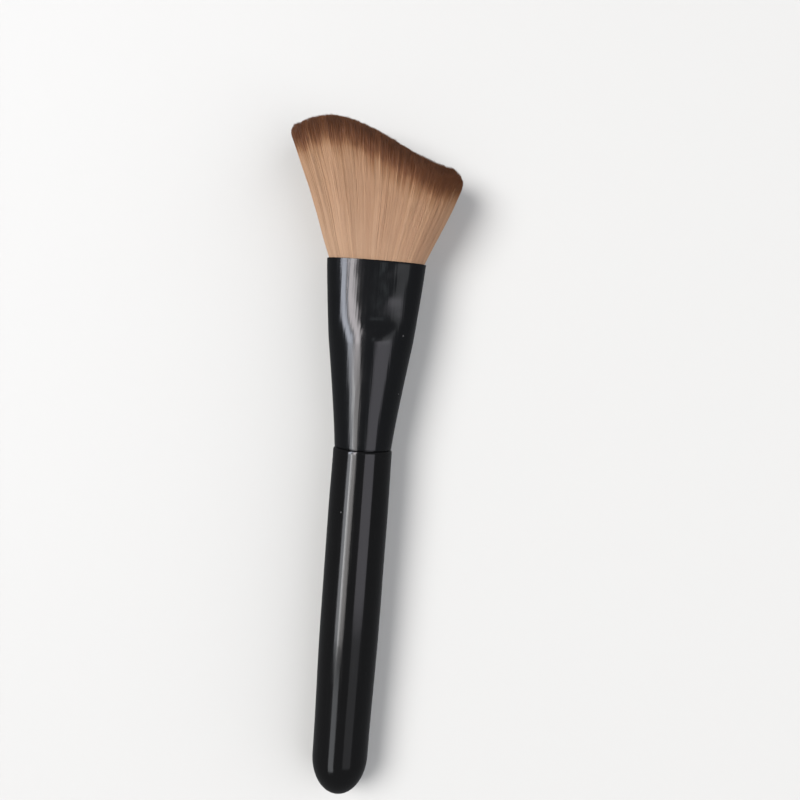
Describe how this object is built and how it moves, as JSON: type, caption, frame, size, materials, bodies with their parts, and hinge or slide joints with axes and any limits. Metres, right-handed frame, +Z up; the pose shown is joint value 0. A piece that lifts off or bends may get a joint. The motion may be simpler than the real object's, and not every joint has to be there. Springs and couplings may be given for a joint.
{
  "type": "contour brush",
  "caption": "Hand make-up brush with a round domed handle, a pressed oval ferrule and a dense fanned head cut to an S curve.",
  "frame": {"origin": "middle of the bottom of the box round the whole brush, on the surface it lies on", "axes": "+X across the head towards its short side, +Y from the butt to the tips, +Z up from the surface through the broad face of the head"},
  "size_m": [0.0444, 0.1768, 0.0213],
  "materials": {
    "handle_lacquer": "gloss black lacquer",
    "ferrule_black": "gloss black coating",
    "bristles": "dense tan synthetic filaments with dark brown tips",
    "glue": "hardened amber epoxy"
  },
  "bodies": {
    "root": {"handle": "handle_lacquer", "ferrule": "ferrule_black", "bristle_head": "bristles", "glue_plug": "glue"}
  },
  "joints": []
}
